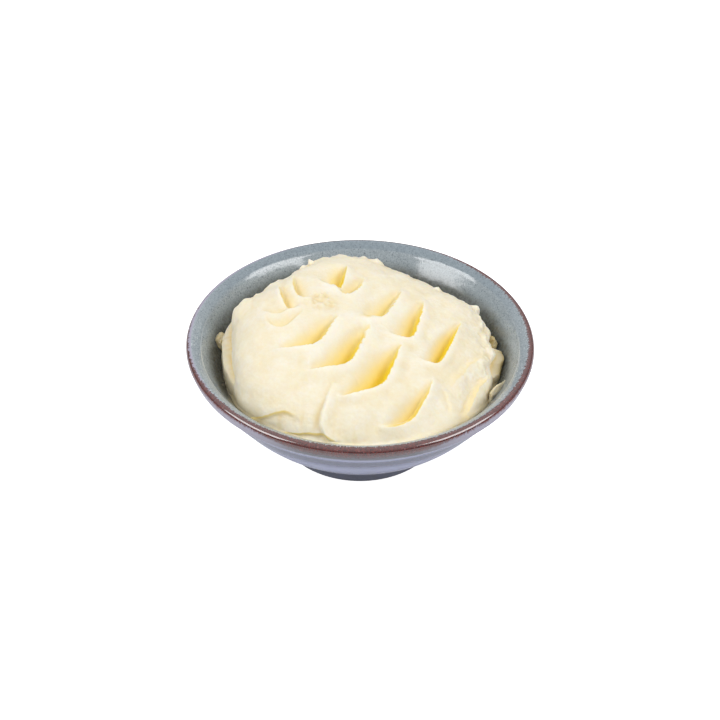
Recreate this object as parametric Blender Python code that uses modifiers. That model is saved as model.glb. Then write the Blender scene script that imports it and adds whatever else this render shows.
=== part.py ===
"""A side of mashed potato heaped in its glazed stoneware bowl.

Z is up, the foot ring stands on Z = 0 and the bowl is turned about the Z axis. The front of the dish
faces -Y. Sizes are written in millimetres and become metres as each mesh is made.
"""

import math

import bmesh
import bpy
from mathutils import Vector, noise

MM = 0.001

# Bowl
BOWL_RADIUS = 70.0
BOWL_HEIGHT = 48.6
BOWL_STEPS = 64
CROWN_ROUND = 2.0
LIP_LEAN = 19.0
LIP_SLOPE = 32.0
LIP_BOTTOM = 42.9
WALL_TOP = (67.3, 41.2)
WALL_ANGLE = 53.5
WALL_THICKNESS = 5.6
BELLY_ROUND = 70.0
BELLY_CENTRE = 68.0
FLOOR_HEIGHT = 8.8
FLOOR_ROUND = 40.0
FLOOR_STEPS = 5
FOOT_JOINT = (35.4, 7.6)
FOOT_RADIUS = 33.2
FOOT_WIDTH = 4.8
FOOT_ROUND = 0.8
RECESS_DEPTH = 4.0

# Heap of mash
GAP = 0.3
HEAP_GRID = 42
HEAP_TOP = 59.1
HEAP_TILT = (-0.15, 0.075)
HEAP_FULLNESS = 3.1
HEAP_RADIUS = 56.6
# The side swells out towards the front, from the first to the second value of -sin(direction)
FRONT_SWELL = 3.9
SWELL_RANGE = (0.35, 0.8)
# Sides pressed flat: direction in degrees and distance from the bowl's axis
FLAT_SIDES = ((138, 48.0), (62, 48.5), (0, 55.0), (183, 52.7), (96, 54.4))
CORNER_TIGHTNESS = 24
HEAP_FOOT = 35.5
FOOT_SPREAD = 0.95
CONTACT_GAP = 0.9
FOOT_RISE = 0.4
FOOT_BLEND = 1.0
# Broad unevenness: size of the lumps and how far they stand out
UNEVENNESS = ((15.0, 0.6), (7.0, 0.4))

# Spoon marks on top, in plan: first end of the crest, corner, last end, how tightly it turns, depth
# and how far the hollow reaches behind the line between the ends. The hollow lies on the right of the
# way from first to last.
MARKS = (
    # Small marks at the back left
    ((-21.4, 1.4), (-31.3, -20.3), (-39.5, -2.5), 1.0, 1.7, 3.0),
    ((-23.6, 3.2), (-32.6, -4.6), (-42.0, 2.4), 3.0, 1.3, 3.5),
    ((-18.5, 8.8), (-26.6, 4.2), (-28.3, 25.0), 1.6, 3.0, 6.0),
    ((-22.6, 2.0), (-30.6, -4.8), (-33.6, 18.0), 1.6, 3.2, 6.0),
    # Front row, left to right
    ((-8.4, -1.0), (-16.5, -21.0), (-32.5, -23.2), 4.5, 5.4, 8.0),
    ((4.2, -3.5), (-3.4, -29.5), (-20.0, -34.0), 4.6, 6.4, 8.0),
    ((16.6, -12.5), (10.0, -38.2), (-7.5, -45.0), 3.8, 7.4, 9.0),
    ((29.3, -28.5), (22.0, -51.6), (8.0, -55.2), 2.3, 4.4, 4.0),
    # Back row, left to right
    ((-5.6, 32.5), (-7.5, 12.8), (-18.0, 20.6), 4.0, 6.0, 8.0),
    ((2.0, 25.0), (-2.8, 4.6), (-11.6, 15.8), 1.0, 3.6, 4.0),
    ((17.4, 20.5), (9.6, 0.0), (-2.0, -0.8), 5.5, 4.6, 7.0),
    ((26.0, 16.0), (21.6, -11.4), (10.5, -8.0), 3.6, 6.0, 5.5),
    ((41.0, 8.0), (31.8, -22.0), (23.2, -20.4), 5.5, 7.6, 4.8),
)
CREST_SAMPLES = 32
MARK_SCOOP = 1.9
MARK_ROUND = 0.8
WALL_WIDTH = 2.6
# The lip of a crest, which is full height from a hollow of the full depth on
CREST_RISE = 0.9
CREST_REACH = 3.0
FULL_DEPTH = 4.0
# A mark fades out over these lengths inside and past its ends
END_FADE = 3.0
END_PAST = 2.0

# Folds on the flank: the same three points, each as direction in degrees and height, then how tightly
# the crest turns, depth, reach and rise of the lip. They are the slab's left edge and the right flank's
# deeper fold.
FOLDS = (
    ((-103.5, 57.4), (-108.7, 46.4), (-95, 41.3), 1.0, 0.7, 9, 0.9),
    ((-16, 41.5), (-30.5, 45.0), (-50, 41.7), 2.3, 2.4, 6, 0.6),
)
FOLD_FADE = (0.5, 1.1)
FLANK_HIGH = 57.0
FLANK_START = 39.6

# Colours and roughness
GLAZE = ((0.24, 0.30, 0.33), 0.22)
MASH = ((0.86, 0.76, 0.50), 0.5)


def smooth(low, high, value):
    """0 below low, 1 above high and a smooth step between."""
    share = min(max((value - low) / (high - low), 0.0), 1.0)
    return share * share * (3.0 - 2.0 * share)


def arc(centre, radius, first, last, steps):
    """Points on an arc about centre, from the first to the last angle in degrees."""
    points = []
    for step in range(steps + 1):
        angle = math.radians(first + (last - first) * step / steps)
        points.append((centre[0] + radius * math.cos(angle), centre[1] + radius * math.sin(angle)))
    return points


def inside_wall(inset=0.0):
    """A point on the bowl's inside wall, moved in by inset, and the wall's rise over its run."""
    lean = math.radians(WALL_ANGLE)
    depth = WALL_THICKNESS + inset
    point = (WALL_TOP[0] - depth * math.sin(lean), WALL_TOP[1] + depth * math.cos(lean))
    return point, math.tan(lean)


def inside_height(radius, inset=0.0):
    """Height of the straight part of the inside wall at a radius."""
    point, slope = inside_wall(inset)
    return point[1] + (radius - point[0]) * slope


def floor_curve(inset=0.0):
    """The round between the bowl's floor and its inside wall, from the floor up."""
    point, _ = inside_wall()
    lean = math.radians(WALL_ANGLE)
    centre_z = FLOOR_HEIGHT + FLOOR_ROUND
    side = FLOOR_ROUND - (centre_z - point[1]) * math.cos(lean)
    centre = (point[0] - side / math.sin(lean), centre_z)
    return arc(centre, FLOOR_ROUND - inset, -90.0, WALL_ANGLE - 90.0, FLOOR_STEPS)


def bowl_profile():
    """The bowl's section, from the middle of its floor over the rim and down to the recess."""
    crown = (BOWL_RADIUS - CROWN_ROUND, BOWL_HEIGHT - CROWN_ROUND)
    crown_arc = arc(crown, CROWN_ROUND, 90.0 + LIP_SLOPE, -LIP_LEAN, 6)
    # The lip's slope meets the straight wall
    slope_point = crown_arc[0]
    point, wall_slope = inside_wall()
    lip_slope = math.tan(math.radians(LIP_SLOPE))
    meet = slope_point[1] - point[1] - slope_point[0] * lip_slope + point[0] * wall_slope
    meet_radius = meet / (wall_slope - lip_slope)
    lip_foot = (meet_radius, inside_height(meet_radius))
    # The lip's outer face leans in down to its lower edge
    face_drop = crown_arc[-1][1] - LIP_BOTTOM
    lip_edge = (crown_arc[-1][0] - face_drop * math.tan(math.radians(LIP_LEAN)), LIP_BOTTOM)
    belly_end = -math.degrees(math.acos(FOOT_JOINT[0] / BELLY_ROUND))
    belly = arc((0.0, BELLY_CENTRE), BELLY_ROUND, WALL_ANGLE - 90.0, belly_end, 5)
    inner_foot = FOOT_RADIUS - FOOT_WIDTH
    outer_edge = arc((FOOT_RADIUS - FOOT_ROUND, FOOT_ROUND), FOOT_ROUND, 0.0, -90.0, 2)
    inner_edge = arc((inner_foot + FOOT_ROUND, FOOT_ROUND), FOOT_ROUND, -90.0, -180.0, 2)
    profile = [(0.0, FLOOR_HEIGHT)] + floor_curve() + [lip_foot] + crown_arc + [lip_edge, WALL_TOP] + belly
    profile += [(FOOT_RADIUS + 0.3, FOOT_JOINT[1] - 1.4)] + outer_edge + inner_edge
    profile += [(inner_foot - 1.2, RECESS_DEPTH), (0.0, RECESS_DEPTH)]
    return profile


def make_material(name, colour, roughness):
    """A Principled material of one colour."""
    material = bpy.data.materials.new(name)
    material.use_nodes = True
    shader = material.node_tree.nodes["Principled BSDF"]
    shader.inputs["Base Color"].default_value = (*colour, 1.0)
    shader.inputs["Roughness"].default_value = roughness
    shader.inputs["Metallic"].default_value = 0.0
    return material


def make_object(name, mesh, material, collection):
    """An object of one mesh in the dish's collection."""
    thing = bpy.data.objects.new(name, mesh)
    collection.objects.link(thing)
    mesh.materials.append(material)
    mesh.shade_smooth()
    return thing


def make_bowl(collection):
    """The bowl, its section turned about the Z axis."""
    points = bowl_profile()
    mesh = bpy.data.meshes.new("bowl")
    edges = [(i, i + 1) for i in range(len(points) - 1)]
    mesh.from_pydata([(r * MM, 0.0, z * MM) for r, z in points], edges, [])
    glaze = make_material("stoneware_glaze", *GLAZE)
    bowl = make_object("bowl", mesh, glaze, collection)
    turn = bowl.modifiers.new("turn", "SCREW")
    turn.axis = "Z"
    turn.steps = BOWL_STEPS
    turn.render_steps = BOWL_STEPS
    turn.use_merge_vertices = True
    turn.merge_threshold = 0.00005
    return bowl


def side_radius(turn):
    """Radius of the heap's steep side in the direction turn in radians, with its flat sides."""
    plain = HEAP_RADIUS + FRONT_SWELL * smooth(*SWELL_RANGE, -math.sin(turn))
    inverse = plain**-CORNER_TIGHTNESS
    for direction, distance in FLAT_SIDES:
        facing = max(math.cos(turn - math.radians(direction)), 0.05)
        inverse += (facing / distance) ** CORNER_TIGHTNESS
    return inverse ** (-1.0 / CORNER_TIGHTNESS)


def heap_point(turn, spread):
    """A point on the plain heap: turn is its direction, spread runs from 0 on top to 1 at the wall."""
    side = side_radius(turn)
    contact = side + CONTACT_GAP
    foot = inside_height(contact, GAP) + FOOT_RISE
    swing = min(spread / FOOT_SPREAD, 1.0) * math.pi / 2.0
    apron = max((spread - FOOT_SPREAD) / (1.0 - FOOT_SPREAD), 0.0)
    radius = side * math.sin(swing) ** (2.0 / HEAP_FULLNESS)
    x, y = radius * math.cos(turn), radius * math.sin(turn)
    top = HEAP_TOP + HEAP_TILT[0] * x + HEAP_TILT[1] * y
    rise = max(math.cos(swing), 0.0) ** (2.0 / HEAP_FULLNESS)
    plain = HEAP_FOOT + (top - HEAP_FOOT) * rise
    # The side blends into the foot just above the wall
    height = foot + 0.5 * (plain - foot + math.hypot(plain - foot, FOOT_BLEND))
    radius += apron * (contact - radius)
    height += apron * (inside_height(contact, GAP) - height)
    return Vector((radius * math.cos(turn), radius * math.sin(turn), height))


def kept_inside(place):
    """A place moved in where it would come nearer to the bowl's inside wall than the gap."""
    wall, slope = inside_wall(GAP)
    limit = wall[0] + (place.z - wall[1]) / slope
    share = min(1.0, limit / max(place.xy.length, 0.001))
    return Vector((place.x * share, place.y * share, place.z))


def crest_curve(first, corner, last, tightness):
    """Points of a crest, one conic from its first end to its last."""
    points = []
    for sample in range(CREST_SAMPLES + 1):
        t = sample / CREST_SAMPLES
        weights = ((1 - t) ** 2, 2 * tightness * t * (1 - t), t**2)
        total = sum(weights)
        x = sum(w * p[0] for w, p in zip(weights, (first, corner, last))) / total
        y = sum(w * p[1] for w, p in zip(weights, (first, corner, last))) / total
        points.append(Vector((x, y)))
    return points


def crest_distance(place, crest):
    """Distance from a place to the crest, negative on the hollow's side."""
    best = None
    for start, end in zip(crest[:-1], crest[1:]):
        run = end - start
        share = min(max((place - start).dot(run) / run.length_squared, 0.0), 1.0)
        away = place - start - share * run
        if best is None or away.length < abs(best):
            best = math.copysign(away.length, run.x * away.y - run.y * away.x)
    return best


def crest_height(distance, drop, rise):
    """Height across a crest: its lip falls away in front, and a rounded wall drops into the hollow."""
    left = 1.0 - min(max(-distance / WALL_WIDTH, 0.0), 1.0)
    wall = math.sqrt(1.0 - left**2)
    lip = math.exp(-((distance / CREST_REACH) ** 2)) if distance > 0 else 1.0
    return rise * lip * (1.0 - wall) - drop * wall


def edge_at(side, crest, along, push):
    """How far the crest lies ahead of the line between its ends, at a distance along that line."""
    ahead = [(p - crest[0]).dot(push) for p in crest]
    sides = [(p - crest[0]).dot(along) for p in crest]
    for k in range(len(crest) - 1):
        if sides[k] <= side <= sides[k + 1]:
            share = (side - sides[k]) / max(sides[k + 1] - sides[k], 0.001)
            return ahead[k] + share * (ahead[k + 1] - ahead[k])
    return 0.0


def mark_height(place, mark, crest):
    """How much a spoon mark raises (above 0) or lowers (below 0) the heap at a plan point."""
    depth, reach = mark[4], mark[5]
    length = (crest[-1] - crest[0]).length
    along = (crest[-1] - crest[0]) / length
    push = Vector((-along.y, along.x))
    side = (place - crest[0]).dot(along)
    ahead = (place - crest[0]).dot(push)
    if side < -END_PAST or side > length + END_PAST or abs(ahead) > length:
        return 0.0
    share = min(max(side / length, 0.0), 1.0)
    back = -reach * math.sin(share * math.pi) ** MARK_ROUND
    width = max(edge_at(side, crest, along, push) - back, 0.0)
    full = max((p - crest[0]).dot(push) for p in crest) + reach
    scoop = min(max((ahead - back) / max(width, 0.01), 0.0), 1.0)
    drop = depth * (width / full) ** MARK_ROUND * scoop**MARK_SCOOP
    rise = CREST_RISE * min(1.0, depth / FULL_DEPTH)
    first_end = smooth(-END_PAST, END_FADE, side)
    last_end = 1.0 - smooth(length - END_FADE, length + END_PAST, side)
    return first_end * last_end * crest_height(crest_distance(place, crest), drop, rise)


def fold_height(place, fold):
    """The same for a fold; place is the distance round the flank and the height."""
    first, corner, last, tightness, depth, reach, rise = fold
    points = [(math.radians(p[0]) * HEAP_RADIUS, p[1]) for p in (first, corner, last)]
    crest = crest_curve(*points, tightness)
    chord = crest[-1] - crest[0]
    half = chord.length / 2.0
    middle = (crest[0] + crest[-1]) / 2.0
    if (place - middle).length > half + 2.0 * reach:
        return 0.0
    fade = 1.0 - smooth(*FOLD_FADE, abs((place - middle).dot(chord.normalized())) / half)
    distance = crest_distance(place, crest)
    drop = depth * min(max(1.0 + distance / reach, 0.0), 1.0) ** 2
    return fade * crest_height(distance, drop, rise)


def worked_height(place, crests):
    """How far the worked surface stands out of the plain heap at a place on it."""
    height = sum(mark_height(place.xy, mark, crest) for mark, crest in zip(MARKS, crests))
    if place.z < FLANK_HIGH and place.xy.length > FLANK_START:
        round_flank = Vector((math.atan2(place.y, place.x) * HEAP_RADIUS, place.z))
        height += sum(fold_height(round_flank, fold) for fold in FOLDS)
    return height + sum(share * noise.noise(place / size) for size, share in UNEVENNESS)


def disc_place(a, b):
    """Direction and spread on a disc for a point of the square from -1 to 1, ring for ring."""
    spread = max(abs(a), abs(b))
    if spread == 0.0:
        return 0.0, 0.0
    if abs(a) > abs(b):
        turn = math.pi / 4.0 * b / a + (math.pi if a < 0 else 0.0)
    else:
        turn = math.pi / 2.0 - math.pi / 4.0 * a / b + (math.pi if b < 0 else 0.0)
    return turn, spread


def shape_heap_top(sheet):
    """Lays a flat square grid over the heap, then works the marks and folds into it."""
    places = [disc_place(vertex.co.x, vertex.co.y) for vertex in sheet.verts]
    for vertex, (turn, spread) in zip(sheet.verts, places):
        vertex.co = heap_point(turn, spread)
    sheet.normal_update()
    crests = [crest_curve(*mark[:4]) for mark in MARKS]
    # The edge stays on the wall
    heights = [worked_height(vertex.co, crests) for vertex in sheet.verts]
    moves = [v.normal * h * (s < 0.99) for v, h, (_, s) in zip(sheet.verts, heights, places)]
    for vertex, move in zip(sheet.verts, moves):
        vertex.co = kept_inside(vertex.co + move)


def fill_heap_below(sheet):
    """Extrudes the heap's edge down the inside of the bowl and closes it over the floor."""
    rim = [edge for edge in sheet.edges if edge.is_boundary]
    for radius, height in reversed(floor_curve(GAP)):
        ring = bmesh.ops.extrude_edge_only(sheet, edges=rim)["geom"]
        rim = [item for item in ring if isinstance(item, bmesh.types.BMEdge)]
        for vertex in {v for edge in rim for v in edge.verts}:
            out = vertex.co.xy.normalized() * radius
            vertex.co = (out.x, out.y, height)
    bmesh.ops.contextual_create(sheet, geom=rim)
    bmesh.ops.recalc_face_normals(sheet, faces=sheet.faces)


def make_mash(collection):
    """The mash, one solid that fills the bowl and heaps above its wall."""
    sheet = bmesh.new()
    bmesh.ops.create_grid(sheet, x_segments=HEAP_GRID, y_segments=HEAP_GRID, size=1.0)
    shape_heap_top(sheet)
    fill_heap_below(sheet)
    bmesh.ops.scale(sheet, vec=Vector((MM, MM, MM)), verts=sheet.verts)
    mesh = bpy.data.meshes.new("mashed_potato")
    sheet.to_mesh(mesh)
    sheet.free()
    potato = make_material("mashed_potato", *MASH)
    return make_object("mashed_potato", mesh, potato, collection)


def main():
    for thing in list(bpy.data.objects):
        bpy.data.objects.remove(thing)
    collection = bpy.data.collections.new("mashed_potato_side")
    bpy.context.scene.collection.children.link(collection)
    make_bowl(collection)
    make_mash(collection)


main()
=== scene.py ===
"""Looks of a side of mashed potato heaped in a speckled stoneware bowl.

The shapes are worked out in millimetres, Z up, with the bowl turned about the Z axis and the front of
the dish facing -Y. They become metres as each mesh is made.
"""

import math

import bpy
import numpy as np
from mathutils import Matrix, Vector, noise


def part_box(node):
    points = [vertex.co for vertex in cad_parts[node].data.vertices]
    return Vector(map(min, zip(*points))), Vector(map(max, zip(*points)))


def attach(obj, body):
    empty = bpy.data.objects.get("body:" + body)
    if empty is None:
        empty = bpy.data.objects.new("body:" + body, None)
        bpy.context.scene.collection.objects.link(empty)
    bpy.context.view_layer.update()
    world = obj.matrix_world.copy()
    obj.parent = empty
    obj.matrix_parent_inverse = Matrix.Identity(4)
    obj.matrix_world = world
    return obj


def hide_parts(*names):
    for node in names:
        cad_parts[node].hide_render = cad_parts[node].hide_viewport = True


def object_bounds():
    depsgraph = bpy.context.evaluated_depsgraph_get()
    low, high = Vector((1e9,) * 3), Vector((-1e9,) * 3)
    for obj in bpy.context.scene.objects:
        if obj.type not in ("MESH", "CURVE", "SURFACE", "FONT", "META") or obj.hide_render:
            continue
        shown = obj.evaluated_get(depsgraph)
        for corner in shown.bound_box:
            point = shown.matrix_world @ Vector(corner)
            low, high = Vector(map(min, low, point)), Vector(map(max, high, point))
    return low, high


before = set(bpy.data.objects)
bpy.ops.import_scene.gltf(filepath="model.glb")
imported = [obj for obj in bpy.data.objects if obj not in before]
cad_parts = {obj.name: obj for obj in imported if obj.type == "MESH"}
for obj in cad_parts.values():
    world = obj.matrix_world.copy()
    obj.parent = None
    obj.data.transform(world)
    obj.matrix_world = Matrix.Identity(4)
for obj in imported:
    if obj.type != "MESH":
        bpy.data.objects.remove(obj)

MM = 0.001
CAD_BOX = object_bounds()

# ----------------------------------------------------------------------------------------------
# Sizes, in millimetres
# ----------------------------------------------------------------------------------------------

BOWL_LOW, BOWL_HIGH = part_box("bowl")
BOWL_RADIUS = BOWL_HIGH.x / MM
BOWL_HEIGHT = BOWL_HIGH.z / MM
BOWL_STEPS = 288
CROWN_ROUND = 2.0
LIP_LEAN = 19.0
LIP_SLOPE = 32.0
LIP_BOTTOM = 42.9
WALL_TOP = (67.3, 41.2)
WALL_ANGLE = 53.5
WALL_THICKNESS = 5.6
BELLY_ROUND = 70.0
BELLY_CENTRE = 68.0
FLOOR_HEIGHT = 8.8
FLOOR_ROUND = 40.0
FOOT_JOINT = (35.4, 7.6)
FOOT_RADIUS = 33.2
FOOT_WIDTH = 4.8
FOOT_ROUND = 0.8
RECESS_DEPTH = 4.0
LIP_FOOT_ROUND = 7.6
LIP_EDGE_ROUND = 0.9
COVE_ROUND = 1.5

HEAP_GRID = 300
HEAP_TOP = 59.1
HEAP_TILT = (-0.15, 0.075)
HEAP_FULLNESS = 3.1
HEAP_RADIUS = 56.6
FRONT_SWELL = 3.9
# Sides pressed flat: direction in degrees and distance from the bowl's axis
FLAT_SIDES = ((138, 48.0), (62, 48.5), (0, 55.0), (183, 52.7), (96, 54.4))
CORNER_TIGHTNESS = 24
HEAP_FOOT = 35.5
CONTACT_GAP = 0.9
TOP_SPARE = 0.05
# A lower layer shows below the worked one in places: direction, half the width in degrees, height of
# its top and its radius
LOWER_LAYERS = ((-5, 9, 40.5, 57.6), (183, 25, 44.0, 56.0))
LAYER_GROOVE = 0.7
# Crumbly patch on top: centre and radius
CRUMBLY_PATCH = ((-15.5, 6.0), 7.0)
FOOT_SPREAD = 0.95
WALL_BITE = 0.15

# Spoon marks on top, in plan: first end of the crest, corner, last end, how tightly it turns, depth
# and how far the hollow reaches behind the line between the ends. The hollow lies on the right of the
# way from first to last.
MARKS = (
    ((-21.4, 1.4), (-31.3, -20.3), (-39.5, -2.5), 1.0, 1.7, 3.0),
    ((-23.6, 3.2), (-32.6, -4.6), (-42.0, 2.4), 3.0, 1.3, 3.5),
    ((-18.5, 8.8), (-26.6, 4.2), (-28.3, 25.0), 1.6, 3.0, 6.0),
    ((-22.6, 2.0), (-30.6, -4.8), (-33.6, 18.0), 1.6, 3.2, 6.0),
    ((-8.4, -1.0), (-16.5, -21.0), (-32.5, -23.2), 4.5, 5.4, 8.0),
    ((4.2, -3.5), (-3.4, -29.5), (-20.0, -34.0), 4.6, 6.4, 8.0),
    ((16.6, -12.5), (10.0, -38.2), (-7.5, -45.0), 3.8, 7.4, 9.0),
    ((29.3, -28.5), (22.0, -51.6), (8.0, -55.2), 2.3, 4.4, 4.0),
    ((-5.6, 32.5), (-7.5, 12.8), (-18.0, 20.6), 4.0, 6.0, 8.0),
    ((2.0, 25.0), (-2.8, 4.6), (-11.6, 15.8), 1.0, 3.6, 4.0),
    ((17.4, 20.5), (9.6, 0.0), (-2.0, -0.8), 5.5, 4.6, 7.0),
    ((26.0, 16.0), (21.6, -11.4), (10.5, -8.0), 3.6, 6.0, 5.5),
    ((41.0, 8.0), (31.8, -22.0), (23.2, -20.4), 5.5, 7.6, 4.8),
)
CREST_SAMPLES = 48
WALL_SHARE = 0.5
DEEPEST = 6.5
MARK_SCOOP = 1.9
# How closely the painted shade in a hollow gathers by the crest, and the depth about which its strength is scaled
SHADE_SCOOP = 1.6
FULL_SHADE = 7.0
ROUGH_REACH = 1.3
# How much of its painted shade a hollow loses on steep walls that face the back
BACK_PALER = 0.75
FOLD_SCOOP = 2.0
FOLD_LINE = 0.3
CREST_EDGE = 1.5
# Height above the surroundings at which a lip takes its full painted highlight, and the reach and strength of the
# painted shade on the mash beside the bowl's wall
HIGHLIGHT_FULL = 1.0
EDGE_SHADE_REACH = 6.5
EDGE_SHADE = 0.7
CREST_RISE = 0.9
CREST_REACH = 3.0

# Folds on the flank: the same three points, each as direction in degrees and height, then how tightly
# the crest turns, depth, reach, rise of the lip, width of the wall and how much painted shade its crease takes
FOLDS = (
    ((-137.5, 39.2), (-121.0, 50.9), (-113.0, 49.2), 3.4, 0.8, 4.0, 0.4, 2.4, 3.4),
    ((-122, 42.0), (-101.7, 47.6), (-95, 41.0), 2.1, 1.1, 4.0, 0.5, 2.4, 3.4),
    ((-103.5, 57.4), (-108.7, 46.4), (-95, 41.3), 1.0, 0.7, 9, 1.3, 2.6, 0.8),
    ((-3, 44.0), (-22.3, 48.1), (-46, 48.3), 4.0, 0.9, 4, 0.4, 1.2, 1.8),
    ((-16, 41.5), (-30.5, 45.0), (-50, 41.7), 2.3, 2.4, 6, 0.6, 1.4, 2.2),
    ((-44.5, 48.8), (-48.0, 46.6), (-51.5, 44.2), 1.0, 0.6, 4, 0.4, 1.0, 1.2),
)
FLANK_HIGH = 57.0

# Tips, bumps and notches: place on the plain heap, radius and height out of it
PEAKS = (
    ((-21.0, 39.4, 56.3), 1.7, 2.2),
    ((-23.9, 36.8, 56.1), 2.2, 1.2),
    ((-15.7, 43.1, 56.5), 3.0, 0.9),
    ((-9.0, 46.0, 55.3), 5.0, 1.0),
    ((1.0, 45.6, 54.8), 2.2, 0.8),
    ((6.2, 44.3, 53.8), 4.0, 1.6),
    ((-33.7, 26.3, 56.4), 2.0, 1.0),
    ((-36.7, 22.9, 56.6), 4.5, 1.0),
    ((-42.4, 16.3, 56.8), 1.8, 0.8),
    ((-46.6, 13.4, 55.1), 5.0, 1.0),
    ((-49.6, 9.7, 53.0), 8.0, 2.4),
    ((22.6, 36.2, 51.5), 4.0, -1.2),
    ((28.4, 33.8, 50.3), 4.0, -1.5),
    ((31.9, 31.9, 49.9), 3.0, 1.1),
    ((41.5, 28.0, 48.1), 4.0, -1.0),
    ((48.0, 24.8, 44.8), 3.0, 2.2),
    ((50.4, 20.5, 43.2), 4.0, -3.4),
    ((53.0, 14.0, 40.6), 3.0, 1.2),
    ((53.6, 7.5, 40.2), 3.0, -1.6),
    ((53.9, -2.3, 42.0), 4.6, 2.4),
    ((53.6, -9.0, 42.5), 3.0, -0.8),
)

# Loose lumps beside the heap: centre, half sizes, turn about the vertical and tilt in degrees, how
# much it narrows to its far end, and how much painted shade darkens it
CRUMBS = (
    ((-56.6, 8.4, 38.6), (2.6, 3.7, 3.2), 5, 10, 0.1, 0.7),
    ((54.3, -22.8, 39.6), (1.3, 6.2, 2.9), -35, 12, 0.6, 0.45),
    ((54.0, 11.0, 38.2), (1.6, 4.0, 2.4), 12, -14, 0.4, 0.9),
)

# ----------------------------------------------------------------------------------------------
# Helpers
# ----------------------------------------------------------------------------------------------


def smooth(low, high, value):
    """0 below low, 1 above high and a smooth step between."""
    share = np.clip((value - low) / (high - low), 0.0, 1.0)
    return share * share * (3.0 - 2.0 * share)


def arc(centre, radius, first, last, steps):
    """Points on an arc about centre, from the first to the last angle in degrees."""
    angles = np.radians(np.linspace(first, last, steps + 1))
    return [(centre[0] + radius * math.cos(a), centre[1] + radius * math.sin(a)) for a in angles]


def lumps(points, size, seed):
    """Smooth noise from -1 to 1 at each point, with lumps about size across."""
    shift = Vector((seed * 17.3, seed * 5.9, seed * 11.1))
    return np.array([noise.noise(Vector(p) / size + shift) for p in points])


def make_mesh(name, points, faces, smooth_shaded=True):
    """An object from points in millimetres and faces."""
    mesh = bpy.data.meshes.new(name)
    mesh.from_pydata([tuple(p) for p in np.asarray(points) * MM], [], faces)
    mesh.update()
    if smooth_shaded:
        mesh.shade_smooth()
    thing = bpy.data.objects.new(name, mesh)
    bpy.context.scene.collection.objects.link(thing)
    return thing


def add_values(thing, name, values):
    """Stores one number for each point of a mesh, for its material to read."""
    attribute = thing.data.attributes.new(name, "FLOAT", "POINT")
    attribute.data.foreach_set("value", np.asarray(values, np.float32))


# ----------------------------------------------------------------------------------------------
# Bowl
# ----------------------------------------------------------------------------------------------


def inside_wall(inset=0.0):
    """A point on the bowl's inside wall, moved in by inset, and the wall's rise over its run."""
    lean = math.radians(WALL_ANGLE)
    depth = WALL_THICKNESS + inset
    point = (WALL_TOP[0] - depth * math.sin(lean), WALL_TOP[1] + depth * math.cos(lean))
    return point, math.tan(lean)


def inside_height(radius, inset=0.0):
    """Height of the straight part of the inside wall at a radius."""
    point, slope = inside_wall(inset)
    return point[1] + (radius - point[0]) * slope


def floor_curve(inset, steps):
    """The round between the bowl's floor and its inside wall, from the floor up."""
    point, _ = inside_wall()
    lean = math.radians(WALL_ANGLE)
    centre_z = FLOOR_HEIGHT + FLOOR_ROUND
    side = FLOOR_ROUND - (centre_z - point[1]) * math.cos(lean)
    centre = (point[0] - side / math.sin(lean), centre_z)
    return arc(centre, FLOOR_ROUND - inset, -90.0, WALL_ANGLE - 90.0, steps)


def fillet(before, corner, after, radius, steps):
    """Points that round a corner of the section between two straight runs."""
    back = np.subtract(before, corner) / np.linalg.norm(np.subtract(before, corner))
    ahead = np.subtract(after, corner) / np.linalg.norm(np.subtract(after, corner))
    half = math.acos(float(back @ ahead)) / 2.0
    centre = corner + (back + ahead) / np.linalg.norm(back + ahead) * radius / math.sin(half)
    start, end = corner + back * radius / math.tan(half), corner + ahead * radius / math.tan(half)
    first = math.degrees(math.atan2(start[1] - centre[1], start[0] - centre[0]))
    last = math.degrees(math.atan2(end[1] - centre[1], end[0] - centre[0]))
    last += 360.0 * round((first - last) / 360.0)
    return arc(centre, radius, first, last, steps)


def bowl_profile():
    """The bowl's section from the middle of its floor over the rim to the recess, and the crown's place."""
    crown = (BOWL_RADIUS - CROWN_ROUND, BOWL_HEIGHT - CROWN_ROUND)
    crown_in = arc(crown, CROWN_ROUND, 90.0 + LIP_SLOPE, 90.0, 5)
    crown_out = arc(crown, CROWN_ROUND, 90.0, -LIP_LEAN, 14)
    slope_point = crown_in[0]
    point, wall_slope = inside_wall()
    lip_slope = math.tan(math.radians(LIP_SLOPE))
    meet = slope_point[1] - point[1] - slope_point[0] * lip_slope + point[0] * wall_slope
    meet_radius = meet / (wall_slope - lip_slope)
    lip_foot = (meet_radius, inside_height(meet_radius))
    face_drop = crown_out[-1][1] - LIP_BOTTOM
    lip_edge = (crown_out[-1][0] - face_drop * math.tan(math.radians(LIP_LEAN)), LIP_BOTTOM)
    belly_end = -math.degrees(math.acos(FOOT_JOINT[0] / BELLY_ROUND))
    belly = arc((0.0, BELLY_CENTRE), BELLY_ROUND, WALL_ANGLE - 90.0, belly_end, 20)
    inner_foot = FOOT_RADIUS - FOOT_WIDTH
    outer_edge = arc((FOOT_RADIUS - FOOT_ROUND, FOOT_ROUND), FOOT_ROUND, 0.0, -90.0, 5)
    inner_edge = arc((inner_foot + FOOT_ROUND, FOOT_ROUND), FOOT_ROUND, -90.0, -180.0, 5)
    foot_top = (FOOT_RADIUS + 0.3, FOOT_JOINT[1] - 1.4)
    inside = [(0.0, FLOOR_HEIGHT)] + floor_curve(0.0, 24)
    inside += fillet(inside[-1], lip_foot, slope_point, LIP_FOOT_ROUND, 12) + crown_in
    outside = crown_out[1:] + fillet(crown_out[-1], lip_edge, WALL_TOP, LIP_EDGE_ROUND, 8)
    outside += fillet(lip_edge, WALL_TOP, belly[0], COVE_ROUND, 8) + belly
    outside += [foot_top] + outer_edge + inner_edge
    outside += [(inner_foot - 1.2, RECESS_DEPTH), (0.0, RECESS_DEPTH)]
    return np.array(inside + outside), len(inside) - 1


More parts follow.
